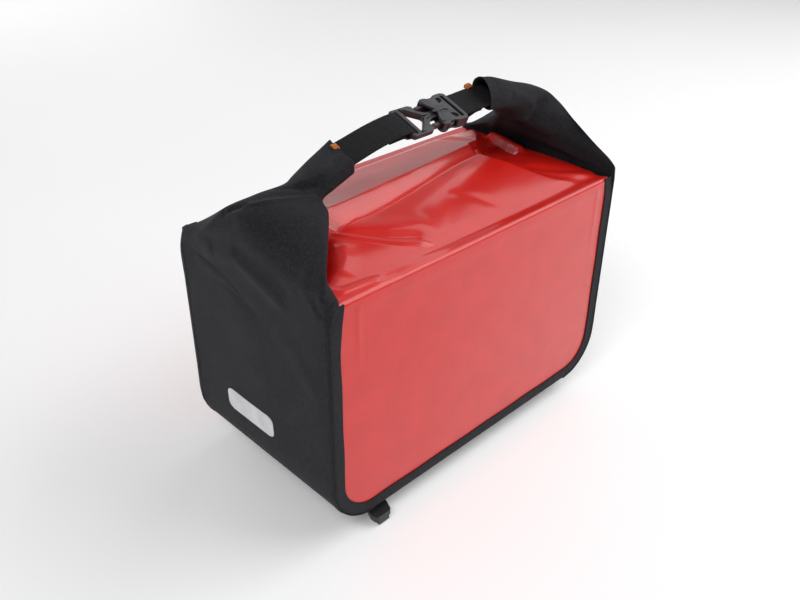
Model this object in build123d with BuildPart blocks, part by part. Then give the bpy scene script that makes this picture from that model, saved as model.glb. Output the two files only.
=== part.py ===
from build123d import *
import os
from math import cos, radians, sin, tan

# Roll-top rack bag. Millimetres, +Z up, X along the bag's length, -Y the front face.
# The origin is the centre of the rack adapter's underside, which rests on the rack.

# ---- bag body ----
bag_length = 330.0  # outside, left side to right side
bag_width = 177.0  # outside, front face to back face
side_height = 200.0  # underside of the bag floor up to the top creases
corner_radius = 41.0  # outside radius of the two lower corners
fabric = 1.2  # coated fabric thickness
edging_width = 11.5  # binding folded over onto the front and back faces
fold_gap = 6.0  # from the bag's ends to the flaps, along the creases
flap_rise = 15.0  # creases up to where the flaps meet the roll
flap_taper = 34.0  # how much narrower each flap end gets on its way to the roll

# ---- rolled closure ----
roll_width = 36.0
roll_height = 16.0
roll_corner = 5.0
roll_end_gap = 48.0  # from the bag's ends to the ends of the flat part of the roll
mouth_strip_width = 24.0
mouth_strip_thickness = 2.0
mouth_strip_spacing = 6.0
strip_clearance = 0.2

# ---- stiffening boards and load plate ----
board = 2.0  # upright board thickness
board_gap = 1.5  # from the boards' edges to the fabric
floor_board_thickness = 3.0
backing_length = 200.0
backing_width = 70.0
backing_thickness = 2.0

# ---- rack adapter: a T rail that slides into the rack ----
adapter_length = 240.0
adapter_width = 100.0
adapter_corner = 8.0
adapter_plate_thickness = 6.0
rail_width = 68.0  # T rail's flange
rail_neck = 52.0
rail_flange = 4.0  # flange thickness
rail_groove = 6.0  # height of the side grooves
screw_radius = 2.5
screw_hole_clearance = 0.25
screw_head_radius = 4.5
screw_head_height = 3.0
screw_head_recess = 3.4
head_clearance = 0.4
screw_pitch_x = 160.0
screw_pitch_y = 32.0
washer_radius = 5.0
washer_thickness = 1.0
nut_across_flats = 8.0
nut_height = 4.0
thread_clearance = 0.05
screw_proud = 1.5  # screw ends, past the nuts
hex_key = 3.0

# ---- release latch under the front edge ----
latch_from_end = 20.0  # pivot, in from the adapter's left end
latch_from_edge = 8.0  # pivot, in from the adapter plate's front edge
latch_thickness = 5.0
latch_gap = 0.5  # above and below the lever
latch_boss = 9.0
latch_nose_reach = 18.0
latch_nose_depth = 3.0  # how far the nose stands into the groove
latch_nose_width = 6.0
latch_nose_length = 7.0
tab_offset = 18.5  # thumb tab's centre, outboard of the pivot
tab_width = 17.0
tab_overhang = 5.0  # tab's end, proud of the bag's front face
tab_depth = 9.0
tab_corner = 3.0
tab_lip = 3.5  # the tab's turned-down lip
pivot_radius = 2.5
pivot_clearance = 0.08
pivot_head_radius = 5.0
pivot_head_height = 2.5
spring_thickness = 0.5
spring_post_radius = 1.5
spring_post_inset = 2.5  # post's centre, in from the adapter's end
spring_post_back = 5.0  # post's centre, towards the front from the pivot
spring_anchor = 3.0  # leaf spring's ends, behind and in front of the post
spring_bend = 4.0
spring_reach = 11.0
spring_lean = 1.2
pivot_depth = 5.0  # the shoulder screw's hole in the adapter plate

# ---- strap, its webbing and its buckle ----
web_width = 25.0
web = 1.6  # webbing thickness
strap_height = 65.0  # buckle's centre plane, above the creases
strap_tilt = 21.0  # front edge of the strap lower
left_tail_length = 28.0  # sewn tails, from their bars
right_tail_length = 23.0
sewn_share = 0.4  # of each tail, before the stitching starts
mouth_x = 21.0  # where the two halves of the buckle meet
buckle_thickness = 9.0
shell_wall = 1.7
web_bar = 3.6
web_play = 3.0  # slots, wider than the webbing
slot_side = 3.0  # plastic on each side of the slots
buckle_chamfer = 2.0
buckle_chamfer_length = 3.0
slot_gap = 3.2
socket_depth = 19.0
socket_end = 3.0
window_start = 5.0
window_length = 11.0
male_length = 33.0  # outside the socket
male_inset = 0.5  # the male half is this much narrower on each side
cross_bar = 4.0
bar_clearance = 0.2  # between the bars and the webbing
guide_width = 8.0
guide_length = 16.0
guide_thickness = 3.4
throat_depth = 6.0  # notch in the socket's face, round the guide
arm_root = 9.0  # arms' roots, outside the mouth
arm_inset = 6.0  # arms' roots, in from the buckle's sides
arm_half = 1.5  # half of an arm's width at its root
arm_swell = 1.0  # how much the arms widen towards their pads
arm_thickness = 5.0
arm_gap = 0.6
pad_proud = 0.4  # thumb pads, short of the socket's sides

# ---- folded ends of the closure ----
left_horn_end = 72.0  # ends of the horns, out from the bag's middle
right_horn_end = 79.0
left_horn_drop = 10.0  # middle of the left horn's end, below the buckle
right_horn_lift = 4.0  # middle of the right horn's end, above the buckle
horn_margin = 4.0  # horns, wider than the webbing on each side
horn_thickness = 12.0
anchor_thickness = 2.0
anchor_length = 6.0
anchor_height = 4.0

# ---- plain reflective bars on the sides ----
reflector_length = 60.0
reflector_height = 20.0
reflector_corner = 6.0
reflector_thickness = 0.4
reflector_rise = 62.0
reflector_setback = 12.0

# ---- worked out from the sizes above ----
half_length = bag_length / 2
half_width = bag_width / 2
rail_top = rail_flange + rail_groove
floor_z = rail_top + adapter_plate_thickness
crease_z = floor_z + side_height
strap_z = crease_z + strap_height
board_bottom = floor_z + fabric + floor_board_thickness
roll_z = crease_z + flap_rise - fabric / 2
pivot_x = -adapter_length / 2 + latch_from_end
pivot_y = -adapter_width / 2 + latch_from_edge
latch_z = rail_flange + latch_gap
spring_post_x = -adapter_length / 2 + spring_post_inset
spring_post_y = pivot_y - spring_post_back
left_horn_reach = half_length - left_horn_end
right_horn_reach = half_length - right_horn_end
left_horn_rise = strap_height - left_horn_drop
right_horn_rise = strap_height + right_horn_lift
horn_width = web_width + 2 * horn_margin
slot_width = web_width + web_play
buckle_width = slot_width + 2 * slot_side
screws_at = GridLocations(screw_pitch_x, screw_pitch_y, 2, 2)
female_length = socket_depth + socket_end + slot_gap + web_bar
bar_left = mouth_x - male_length + web_bar / 2
bar_right = mouth_x + female_length - web_bar / 2
tilt_cos, tilt_sin = cos(radians(strap_tilt)), sin(radians(strap_tilt))
above = (0, -tilt_sin, tilt_cos)  # square to the webbing
strap_side = Plane(origin=(0, 0, strap_z), x_dir=(1, 0, 0), z_dir=(0, -tilt_cos, -tilt_sin))
buckle_plan = Plane(origin=(mouth_x, 0, strap_z), x_dir=(1, 0, 0), z_dir=above)


def finish(piece, name):
    """Labels a finished piece and writes it."""
    piece.part.label = name
    export_step(piece.part, f"parts/{name}.step")


def sketch_outline(y, inset, *more):
    """The bag seen from the front, at that y, drawn in by inset but for its open top.

    A further inset given in more cuts that smaller outline out again, which leaves a band.
    """
    with BuildSketch(Plane.XZ.offset(-y)) as outline:
        for step, mode in zip((inset, *more), (Mode.ADD, Mode.SUBTRACT)):
            with BuildSketch(mode=Mode.PRIVATE) as shape:
                with Locations((0, floor_z + step)):
                    Rectangle(bag_length - 2 * step, side_height - step, align=(Align.CENTER, Align.MIN))
                fillet(shape.vertices().group_by(Axis.Y)[0], corner_radius - step)
            add(shape.sketch, mode=mode)
    return outline.sketch


os.makedirs("parts", exist_ok=True)

# ---- red front and back panels: an upright face and the flap that runs to the roll ----
flap_start = bag_length - 2 * fold_gap
flap_end = flap_start - 2 * flap_taper
for name, side in (("front_panel", -1), ("back_panel", 1)):
    skin = side * (half_width - fabric)  # the panel's outer skin, under the edging
    with BuildPart() as panel:
        extrude(sketch_outline(skin, fabric), amount=side * fabric)
        with BuildSketch(Plane.XZ.offset(-skin)):
            with Locations((0, crease_z - fabric / 2)):
                Rectangle(flap_start, fabric)
        with BuildSketch(Plane.XZ.offset(-side * roll_width / 2)):
            with Locations((0, crease_z + flap_rise - fabric / 2)):
                Rectangle(flap_end, fabric)
        loft(ruled=True)
    finish(panel, name)

# ---- edging: folded round the panels' edges and over onto their faces ----
for name, side in (("front_edging", -1), ("back_edging", 1)):
    with BuildPart() as edging:
        extrude(sketch_outline(side * half_width, 0, edging_width), amount=side * fabric)
        extrude(sketch_outline(side * (half_width - fabric), 0, fabric), amount=side * fabric)
    finish(edging, name)

# ---- gusset: a side panel at each end, which runs round the corner, and the base between ----
gusset_half = half_width - 2 * fabric
corner_start = half_length - corner_radius
for name, side in (("left_gusset", -1), ("right_gusset", 1)):
    with BuildPart() as gusset:
        extrude(sketch_outline(gusset_half, 0, fabric), amount=2 * gusset_half)
        split(bisect_by=Plane.YZ.offset(side * corner_start), keep=Keep.TOP if side > 0 else Keep.BOTTOM)
    finish(gusset, name)

with BuildPart() as base_panel:
    with Locations((0, 0, floor_z)):
        Box(2 * corner_start, 2 * gusset_half, fabric, align=(Align.CENTER, Align.CENTER, Align.MIN))
    with Locations((0, 0, floor_z)), screws_at:
        Hole(screw_radius + screw_hole_clearance)
finish(base_panel, "base_panel")

# ---- boards inside the bag ----
for name, side in (("front_board", -1), ("back_board", 1)):
    with BuildPart() as upright:
        with BuildSketch(Plane.XZ.offset(-side * gusset_half)):
            with Locations((0, board_bottom)):
                Rectangle(
                    2 * (corner_start - board_gap),
                    crease_z - board_gap - fabric - board_bottom,
                    align=(Align.CENTER, Align.MIN),
                )
        extrude(amount=side * board)
    finish(upright, name)

with BuildPart() as floor_board:
    with Locations((0, 0, floor_z + fabric)):
        Box(
            2 * (corner_start - board_gap),
            2 * (gusset_half - board_gap),
            floor_board_thickness,
            align=(Align.CENTER, Align.CENTER, Align.MIN),
        )
    with Locations((0, 0, floor_z + fabric)), screws_at:
        Hole(screw_radius + screw_hole_clearance)
finish(floor_board, "floor_board")

with BuildPart() as backing_plate:
    with BuildSketch(Plane.XY.offset(board_bottom)):
        RectangleRounded(backing_length, backing_width, adapter_corner)
    extrude(amount=backing_thickness)
    with Locations((0, 0, board_bottom)), screws_at:
        Hole(screw_radius + screw_hole_clearance)
finish(backing_plate, "backing_plate")

# ---- closure roll, with the two mouth strips rolled up inside it ----
strip_levels = (roll_z - mouth_strip_spacing / 2, roll_z + mouth_strip_spacing / 2)
roll_length = bag_length - 2 * roll_end_gap
with BuildPart() as closure_roll:
    with BuildSketch(Plane.YZ):
        with Locations((0, roll_z)):
            RectangleRounded(roll_width, roll_height, roll_corner)
        with Locations(*((0, level) for level in strip_levels)):
            Rectangle(
                mouth_strip_width + 2 * strip_clearance,
                mouth_strip_thickness + 2 * strip_clearance,
                mode=Mode.SUBTRACT,
            )
    extrude(amount=roll_length / 2, both=True)
finish(closure_roll, "closure_roll")

for name, level in zip(("front_mouth_strip", "back_mouth_strip"), strip_levels):
    with BuildPart() as mouth_strip:
        with Locations((0, 0, level)):
            Box(roll_length, mouth_strip_width, mouth_strip_thickness)
    finish(mouth_strip, name)

# ---- folded ears, each with the horn that its strap pulls up ----
# Each section is a share of the bag's width, then corners as (in from the side, above the crease),
# in shares of the horn's reach and of its rise:
# outer foot, outer wall, outer peak, inner peak, under the fold, inner foot.
left_ear_folds = (
    (0.0, ((0, 0), (0, 0.09), (0.011, 0.2), (0.032, 0.2), (0.043, 0.09), (0.043, 0))),
    (0.22, ((0, 0), (0, 0.25), (0.129, 0.56), (0.28, 0.6), (0.215, 0.33), (0.043, 0))),
    (0.5, ((0, 0), (0, 0.47), (0.172, 0.91), (0.667, 1.05), (0.645, 0.69), (0.054, 0))),
    (0.78, ((0, 0), (0, 0.4), (0.065, 0.53), (0.323, 0.64), (0.237, 0.33), (0.043, 0))),
    (1.0, ((0, 0), (0, 0.05), (0.011, 0.15), (0.032, 0.15), (0.043, 0.07), (0.043, 0))),
)
right_ear_folds = (
    (0.0, ((0, 0), (0, 0.07), (0.012, 0.16), (0.035, 0.16), (0.047, 0.07), (0.047, 0))),
    (0.2, ((0, 0), (0, 0.35), (0.023, 0.42), (0.14, 0.41), (0.14, 0.17), (0.047, 0))),
    (0.37, ((0, 0), (0, 0.72), (0.035, 0.81), (0.372, 0.9), (0.302, 0.32), (0.047, 0))),
    (0.5, ((0, 0), (0, 0.67), (0.186, 0.9), (0.698, 1.16), (0.698, 0.7), (0.058, 0))),
    (0.75, ((0, 0), (0, 0.41), (0.047, 0.55), (0.302, 0.67), (0.256, 0.26), (0.047, 0))),
    (1.0, ((0, 0), (0, 0.07), (0.012, 0.16), (0.035, 0.16), (0.047, 0.07), (0.047, 0))),
)
# Each horn section is (in from the side, centre above the crease, thickness, tilt), the first two
# as the same shares.
left_horn = ((0.58, 0.84, 20, 8), (0.77, 0.93, 16, 16), (1, 1, horn_thickness, strap_tilt))
right_horn = ((0.63, 0.93, 26, 8), (0.81, 1.06, 22, 14), (1, 1, horn_thickness, strap_tilt))
for name, side, folds, horn, horn_reach, horn_rise in (
    ("left_ear", -1, left_ear_folds, left_horn, left_horn_reach, left_horn_rise),
    ("right_ear", 1, right_ear_folds, right_horn, right_horn_reach, right_horn_rise),
):
    with BuildPart() as ear:
        for share, corners in folds:
            with BuildSketch(Plane.XZ.offset(half_width - share * bag_width)):
                with BuildLine():
                    Polyline(
                        *(
                            (side * (half_length - x * horn_reach), crease_z + z * horn_rise)
                            for x, z in corners
                        ),
                        close=True,
                    )
                make_face()
        loft(ruled=True)
        for reach_share, rise_share, thickness, tilt in horn:
            lean = radians(tilt)
            reach, rise = reach_share * horn_reach, rise_share * horn_rise
            with BuildSketch(
                Plane(
                    origin=(
                        side * (half_length - reach),
                        (strap_height - rise) * tan(lean),
                        crease_z + rise,
                    ),
                    x_dir=(0, cos(lean), sin(lean)),
                    z_dir=(1, 0, 0),
                )
            ):
                Rectangle(horn_width, thickness)
        loft(ruled=True)
    finish(ear, name)

# ---- side-release buckle ----
half_web = web_width / 2
half_buckle = buckle_width / 2
socket_half = half_buckle - shell_wall
socket_height = buckle_thickness - 2 * shell_wall
with BuildPart() as buckle_female:
    with BuildSketch(buckle_plan):
        with BuildLine():
            Polyline(
                (0, -half_buckle + buckle_chamfer),
                (buckle_chamfer, -half_buckle),
                (female_length - buckle_chamfer_length, -half_buckle),
                (female_length, -half_buckle + buckle_chamfer),
                (female_length, half_buckle - buckle_chamfer),
                (female_length - buckle_chamfer_length, half_buckle),
                (buckle_chamfer, half_buckle),
                (0, half_buckle - buckle_chamfer),
                (0, guide_width),
                (throat_depth, guide_width / 4),
                (throat_depth, -guide_width / 4),
                (0, -guide_width),
                close=True,
            )
        make_face()
    extrude(amount=buckle_thickness / 2, both=True)
    with BuildSketch(buckle_plan):
        with Locations((socket_depth / 2 - 1, 0)):
            Rectangle(socket_depth + 2, 2 * socket_half)
    extrude(amount=socket_height / 2, both=True, mode=Mode.SUBTRACT)
    with BuildSketch(buckle_plan):
        with Locations((window_start + window_length / 2, 0)):
            Rectangle(window_length, buckle_width + 2)
    extrude(amount=socket_height / 2, both=True, mode=Mode.SUBTRACT)
    with BuildSketch(buckle_plan):
        with Locations((socket_depth + socket_end, 0)):
            Rectangle(slot_gap + web_bar + 1, slot_width, align=(Align.MIN, Align.CENTER))
    extrude(amount=buckle_thickness, both=True, mode=Mode.SUBTRACT)
    with BuildSketch(strap_side):
        with Locations((bar_right, 0)):
            Circle(web_bar / 2)
    extrude(amount=slot_width / 2, both=True)
finish(buckle_female, "buckle_female")

male_half = half_buckle - male_inset
with BuildPart() as buckle_male:
    with BuildSketch(buckle_plan):
        with Locations((-arm_root, 0)):
            Rectangle(cross_bar, 2 * male_half, align=(Align.MAX, Align.CENTER))
        for y_side in (-1, 1):
            with Locations((-male_length, y_side * (slot_width / 2 + male_half) / 2)):
                Rectangle(
                    male_length - arm_root,
                    male_half - slot_width / 2,
                    align=(Align.MIN, Align.CENTER),
                )
    extrude(amount=arm_thickness / 2, both=True)
    with BuildSketch(buckle_plan):
        with Locations((-arm_root, 0)):
            Rectangle(arm_root + guide_length, guide_width, align=(Align.MIN, Align.CENTER))
    extrude(amount=guide_thickness / 2, both=True)
    with BuildSketch(strap_side):
        with Locations((bar_left, 0), (bar_left + web_bar + slot_gap, 0)):
            Circle(web_bar / 2)
    extrude(amount=slot_width / 2, both=True)
finish(buckle_male, "buckle_male")

pad_side = half_buckle - pad_proud
arm_side = half_buckle - arm_inset
arm_wide = arm_side + arm_half + arm_swell
for name, side in (("buckle_arm_front", -1), ("buckle_arm_back", 1)):
    with BuildPart() as arm:
        with BuildSketch(buckle_plan):
            with BuildLine():
                Polyline(
                    (-arm_root + arm_gap, side * (arm_side - arm_half)),
                    (-arm_root + arm_gap, side * (arm_side + arm_half)),
                    (window_start - arm_gap, side * (arm_wide - arm_gap)),
                    (window_start + arm_gap, side * (arm_wide + arm_gap)),
                    (window_start + arm_gap, side * pad_side),
                    (window_start + 0.6 * window_length, side * pad_side),
                    (window_start + window_length - arm_gap, side * arm_wide),
                    (guide_length, side * arm_side),
                    (guide_length - buckle_chamfer, side * (arm_side - arm_half)),
                    (0, side * (arm_side - arm_half)),
                    close=True,
                )
            make_face()
        extrude(amount=(socket_height - arm_gap) / 2, both=True)
    finish(arm, name)

# ---- webbing: each strap loops round its buckle bar and is sewn back on itself ----
loop_in = web_bar / 2 + bar_clearance
loop_out = loop_in + web
left_tip = (-half_length + left_horn_reach, (left_horn_rise - strap_height) / tilt_cos)
right_tip = (half_length - right_horn_reach, (right_horn_rise - strap_height) / tilt_cos)
for name, bar_x, side, tip, tail_length in (
    ("left_strap", bar_left, -1, left_tip, left_tail_length),
    ("right_strap", bar_right, 1, right_tip, right_tail_length),
):
    tail_x = bar_x + side * tail_length
    sewn_x = bar_x + sewn_share * (tail_x - bar_x)  # from here on the tail is sewn flat
    with BuildPart() as strap:
        with BuildSketch(strap_side):
            with BuildLine():
                Polyline(
                    (bar_x, loop_in),
                    (tail_x, loop_in),
                    (tip[0], tip[1] - web / 2),
                    (tip[0], tip[1] + web / 2),
                    (tail_x, loop_out),
                    (bar_x, loop_out),
                    close=True,
                )
            make_face()
            with BuildLine():
                Line((bar_x, loop_out), (bar_x, loop_in))
                ThreePointArc((bar_x, loop_in), (bar_x - side * loop_in, 0), (bar_x, -loop_in))
                Line((bar_x, -loop_in), (bar_x, -loop_out))
                ThreePointArc((bar_x, -loop_out), (bar_x - side * loop_out, 0), (bar_x, loop_out))
            make_face()
            with BuildLine():
                Polyline(
                    (bar_x, -loop_in),
                    (sewn_x, loop_in),
                    (tail_x, loop_in),
                    (tail_x, loop_in - web),
                    (sewn_x, loop_in - web),
                    (bar_x, -loop_out),
                    close=True,
                )
            make_face()
        extrude(amount=half_web, both=True)
    finish(strap, name)

for name, side, tip in (("left_anchor_tape", -1, left_tip), ("right_anchor_tape", 1, right_tip)):
    with BuildPart() as tape:
        with BuildSketch(Plane(strap_side, origin=strap_side.from_local_coords((0, 0, -half_web)))):
            with Locations((tip[0] - side * anchor_length / 2, tip[1])):
                Rectangle(anchor_length, anchor_height)
        extrude(amount=-anchor_thickness)
    finish(tape, name)

# ---- plain reflective bars ----
for name, side in (("left_reflector", -1), ("right_reflector", 1)):
    with BuildPart() as reflector:
        with BuildSketch(Plane.YZ.offset(side * half_length)):
            with Locations((reflector_setback, floor_z + reflector_rise)):
                RectangleRounded(reflector_length, reflector_height, reflector_corner)
        extrude(amount=side * reflector_thickness)
    finish(reflector, name)

# ---- rack adapter ----
centred = (Align.CENTER, Align.CENTER, Align.MIN)
with BuildPart() as adapter_plate:
    with BuildSketch(Plane.XY.offset(rail_top)):
        RectangleRounded(adapter_length, adapter_width, adapter_corner)
    extrude(amount=adapter_plate_thickness)
    Box(adapter_length, rail_neck, rail_top, align=centred)
    with BuildSketch(Plane.XY):
        Rectangle(adapter_length, rail_width)
    extrude(amount=rail_flange)
    with Locations((spring_post_x, spring_post_y, latch_z)):
        Cylinder(spring_post_radius, rail_top - latch_z, align=centred)
    with Locations(Plane(origin=(0, 0, 0), z_dir=(0, 0, -1))), screws_at:
        CounterBoreHole(
            screw_radius + screw_hole_clearance,
            screw_head_radius + head_clearance,
            screw_head_recess,
        )
    with Locations(Plane(origin=(pivot_x, pivot_y, rail_top), z_dir=(0, 0, -1))):
        Hole(pivot_radius + pivot_clearance, pivot_depth)
finish(adapter_plate, "adapter_plate")

washer_z = board_bottom + backing_thickness
nut_z = washer_z + washer_thickness
screw_top = nut_z + nut_height + screw_proud
with BuildPart() as adapter_screws:
    with Locations((0, 0, screw_head_recess - screw_head_height)), screws_at:
        Cylinder(screw_head_radius, screw_head_height, align=centred)
    with Locations((0, 0, screw_head_recess)), screws_at:
        Cylinder(screw_radius, screw_top - screw_head_recess, align=centred)
    with BuildSketch(Plane.XY.offset(screw_head_recess - screw_head_height)):
        with screws_at:
            RegularPolygon(hex_key / 2, 6, major_radius=False)
    extrude(amount=screw_head_height / 2, mode=Mode.SUBTRACT)
finish(adapter_screws, "adapter_screws")

with BuildPart() as adapter_washers:
    with BuildSketch(Plane.XY.offset(washer_z)):
        with screws_at:
            Circle(washer_radius)
            Circle(screw_radius + screw_hole_clearance, mode=Mode.SUBTRACT)
    extrude(amount=washer_thickness)
finish(adapter_washers, "adapter_washers")

with BuildPart() as adapter_nuts:
    with BuildSketch(Plane.XY.offset(nut_z)):
        with screws_at:
            RegularPolygon(nut_across_flats / 2, 6, major_radius=False)
            Circle(screw_radius + thread_clearance, mode=Mode.SUBTRACT)
    extrude(amount=nut_height)
finish(adapter_nuts, "adapter_nuts")

# ---- release latch: a lever on a shoulder screw, its nose standing into the rail's groove ----
spring_line = spring_post_x - spring_post_radius - spring_thickness
tab_x = pivot_x - tab_offset
tab_end = -half_width - tab_overhang
nose_y = -rail_width / 2 + latch_nose_depth
with BuildPart() as latch_lever:
    with BuildSketch(Plane.XY.offset(latch_z)):
        with Locations((pivot_x, pivot_y)):
            Circle(latch_boss)
        with Locations((tab_x, tab_end)):
            RectangleRounded(tab_width, tab_depth, tab_corner, align=(Align.CENTER, Align.MIN))
        make_hull()
    extrude(amount=latch_thickness)
    with BuildSketch(Plane.XY.offset(latch_z)):
        with Locations((pivot_x, pivot_y)):
            Circle(latch_boss / 2)
        with Locations((pivot_x + latch_nose_reach, nose_y)):
            Rectangle(latch_nose_width, latch_nose_length, align=(Align.MAX, Align.MAX))
        make_hull()
    extrude(amount=latch_thickness)
    with Locations((tab_x, tab_end, latch_z)):
        Box(tab_width - 2 * tab_corner, tab_corner, tab_lip, align=(Align.CENTER, Align.MIN, Align.MAX))
    with Locations((pivot_x, pivot_y, latch_z)):
        Hole(pivot_radius + pivot_clearance)
finish(latch_lever, "latch_lever")

with BuildPart() as latch_pivot:
    with Locations((pivot_x, pivot_y, latch_z - latch_gap)):
        Cylinder(pivot_head_radius, pivot_head_height, align=(Align.CENTER, Align.CENTER, Align.MAX))
        Cylinder(pivot_radius, latch_gap + latch_thickness + latch_gap + pivot_depth - 1, align=centred)
finish(latch_pivot, "latch_pivot")

with BuildPart() as latch_spring:
    with BuildSketch(Plane.XY.offset(latch_z)):
        with BuildLine():
            FilletPolyline(
                (spring_line, spring_post_y + spring_anchor),
                (spring_line, spring_post_y - spring_bend),
                (spring_post_x + spring_lean, spring_post_y - spring_reach),
                radius=spring_anchor,
            )
        trace(line_width=spring_thickness)
    extrude(amount=latch_thickness - 1)
finish(latch_spring, "latch_spring")
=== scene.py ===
"""Builds the finished roll-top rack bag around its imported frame."""

import math

import bpy
import numpy as np
from mathutils import Matrix, Vector


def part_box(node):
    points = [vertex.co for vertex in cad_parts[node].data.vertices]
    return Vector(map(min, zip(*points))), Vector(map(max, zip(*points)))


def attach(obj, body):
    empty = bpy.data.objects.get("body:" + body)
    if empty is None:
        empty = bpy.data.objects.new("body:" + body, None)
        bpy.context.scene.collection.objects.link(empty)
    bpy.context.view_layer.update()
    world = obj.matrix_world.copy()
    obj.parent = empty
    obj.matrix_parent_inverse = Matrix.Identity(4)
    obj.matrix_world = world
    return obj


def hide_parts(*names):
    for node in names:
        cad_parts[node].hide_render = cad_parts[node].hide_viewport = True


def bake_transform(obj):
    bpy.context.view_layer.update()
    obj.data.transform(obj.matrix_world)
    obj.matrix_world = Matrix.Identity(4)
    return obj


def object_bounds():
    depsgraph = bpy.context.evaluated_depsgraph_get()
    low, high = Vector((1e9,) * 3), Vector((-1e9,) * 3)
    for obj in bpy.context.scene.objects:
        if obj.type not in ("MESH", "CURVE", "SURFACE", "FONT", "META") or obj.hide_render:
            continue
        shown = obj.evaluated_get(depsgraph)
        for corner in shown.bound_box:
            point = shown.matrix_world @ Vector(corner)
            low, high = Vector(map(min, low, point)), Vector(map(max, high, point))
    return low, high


bl_info = {
    "name": "Roll-top Rack Bag",
    "version": (1, 0, 0),
    "blender": (4, 5, 0),
    "location": "View3D > Sidebar > Rack Bag",
    "description": "Builds a roll-top bicycle rack bag with folded ears, strap and buckle",
    "category": "Add Mesh",
}

MM = 0.001
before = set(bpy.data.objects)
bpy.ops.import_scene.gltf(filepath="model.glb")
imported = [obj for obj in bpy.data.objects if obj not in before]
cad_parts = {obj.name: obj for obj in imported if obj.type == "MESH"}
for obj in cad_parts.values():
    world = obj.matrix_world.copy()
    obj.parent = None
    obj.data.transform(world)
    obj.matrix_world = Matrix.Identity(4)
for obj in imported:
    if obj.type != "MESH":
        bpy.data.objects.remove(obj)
cad_low, cad_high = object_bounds()

# The bag's own outside, read from the frame, in millimetres.
panel_low, panel_high = (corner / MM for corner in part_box("front_edging"))
back_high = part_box("back_edging")[1] / MM
LENGTH = panel_high.x - panel_low.x
WIDTH = back_high.y - panel_low.y
FLOOR = panel_low.z
CREASE = panel_high.z
HEIGHT = CREASE - FLOOR
CORNER = panel_high.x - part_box("base_panel")[1].x / MM
LEFT, FRONT = panel_low.x, panel_low.y


# ---- Curves and surfaces ----


def smooth(edge0, edge1, x):
    """0 before edge0, 1 after edge1, and an easy curve between."""
    t = np.clip((np.asarray(x, float) - edge0) / (edge1 - edge0), 0, 1)
    return t * t * (3 - 2 * t)


def bump(x, centre, width):
    """A bell of height 1."""
    return np.exp(-(((np.asarray(x, float) - centre) / width) ** 2))


def catmull(points, t, closed=False):
    """Points of a Catmull-Rom curve, or of many side by side, at the places t from 0 to 1."""
    points = np.asarray(points, float)
    count = len(points)
    spans = count if closed else count - 1
    place = np.clip(np.asarray(t, float), 0, 1) * spans
    first = np.minimum(place.astype(int), spans - 1)
    f = (place - first).reshape((-1,) + (1,) * (points.ndim - 1))

    def at(index):
        return points[index % count] if closed else points[np.clip(index, 0, count - 1)]

    a, b, c, d = at(first - 1), at(first), at(first + 1), at(first + 2)
    return 0.5 * (2 * b + (c - a) * f + (2 * a - 5 * b + 4 * c - d) * f**2 + (3 * b - a - 3 * c + d) * f**3)


def near_path(points, path):
    """Distance of each point from a path, and how far along the path it is nearest, from 0 to 1."""
    points, path = np.asarray(points, float), np.asarray(path, float)
    lengths = np.linalg.norm(np.diff(path, axis=0), axis=1)
    starts = np.concatenate([[0], np.cumsum(lengths)])
    best = np.full(len(points), np.inf)
    share = np.zeros(len(points))
    for start, end, length, before in zip(path, path[1:], lengths, starts):
        t = np.clip((points - start) @ (end - start) / length**2, 0, 1)
        gap = np.linalg.norm(points - start - t[:, None] * (end - start), axis=1)
        closer = gap < best
        best[closer] = gap[closer]
        share[closer] = (before + t[closer] * length) / starts[-1]
    return best, share


def fold_ridge(points, path, height, width):
    """A soft ridge along a path, or a valley where height is negative, dying out at both ends."""
    gap, share = near_path(points, path)
    return height * np.exp(-((gap / width) ** 2)) * smooth(0, 0.15, share) * smooth(1, 0.85, share)


def deselect():
    if bpy.context.object and bpy.context.object.mode != "OBJECT":
        bpy.ops.object.mode_set(mode="OBJECT")
    bpy.ops.object.select_all(action="DESELECT")


def select_only(piece):
    deselect()
    piece.select_set(True)
    bpy.context.view_layer.objects.active = piece


def add_surface(name, columns, rows, place):
    """Adds a grid and lays it out: place(u, v) gives millimetres and the cloth's own flat millimetres."""
    deselect()
    bpy.ops.mesh.primitive_grid_add(x_subdivisions=columns, y_subdivisions=rows, size=1)
    piece = bpy.context.object
    piece.name = piece.data.name = name
    mesh = piece.data
    flat = np.empty(len(mesh.vertices) * 3)
    mesh.vertices.foreach_get("co", flat)
    u, v = flat.reshape(-1, 3)[:, 0] + 0.5, flat.reshape(-1, 3)[:, 1] + 0.5
    where, weave = place(u, v)
    mesh.vertices.foreach_set("co", (np.asarray(where) * MM).ravel())
    corner = np.empty(len(mesh.loops), int)
    mesh.loops.foreach_get("vertex_index", corner)
    mesh.uv_layers[0].data.foreach_set("uv", (np.asarray(weave)[corner] * MM).ravel())
    mesh.update()
    return piece


def edit(piece, *operators):
    """Runs mesh operators on all of a piece, each given as (operator, settings)."""
    select_only(piece)
    bpy.ops.object.mode_set(mode="EDIT")
    bpy.ops.mesh.select_all(action="SELECT")
    for operator, settings in operators:
        operator(**settings)
    bpy.ops.object.mode_set(mode="OBJECT")


def modify(piece, kind, **settings):
    """Adds a modifier and applies it."""
    select_only(piece)
    modifier = piece.modifiers.new(kind.title(), kind)
    for key, value in settings.items():
        setattr(modifier, key, value)
    bpy.ops.object.modifier_apply(modifier=modifier.name)


def shade(piece, angle=None):
    """Smooths a piece all over, or only across edges flatter than an angle."""
    select_only(piece)
    if angle is None:
        bpy.ops.object.shade_smooth()
    else:
        bpy.ops.object.shade_smooth_by_angle(angle=math.radians(angle))


def dress(piece, slot, body, *replaced):
    """Gives a finished piece its finish, its body and the nodes it stands for."""
    piece.data.materials.clear()
    piece.data.materials.append(materials[slot])
    if body:
        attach(piece, body)
    if replaced:
        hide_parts(*replaced)


# ---- Materials ----


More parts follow.
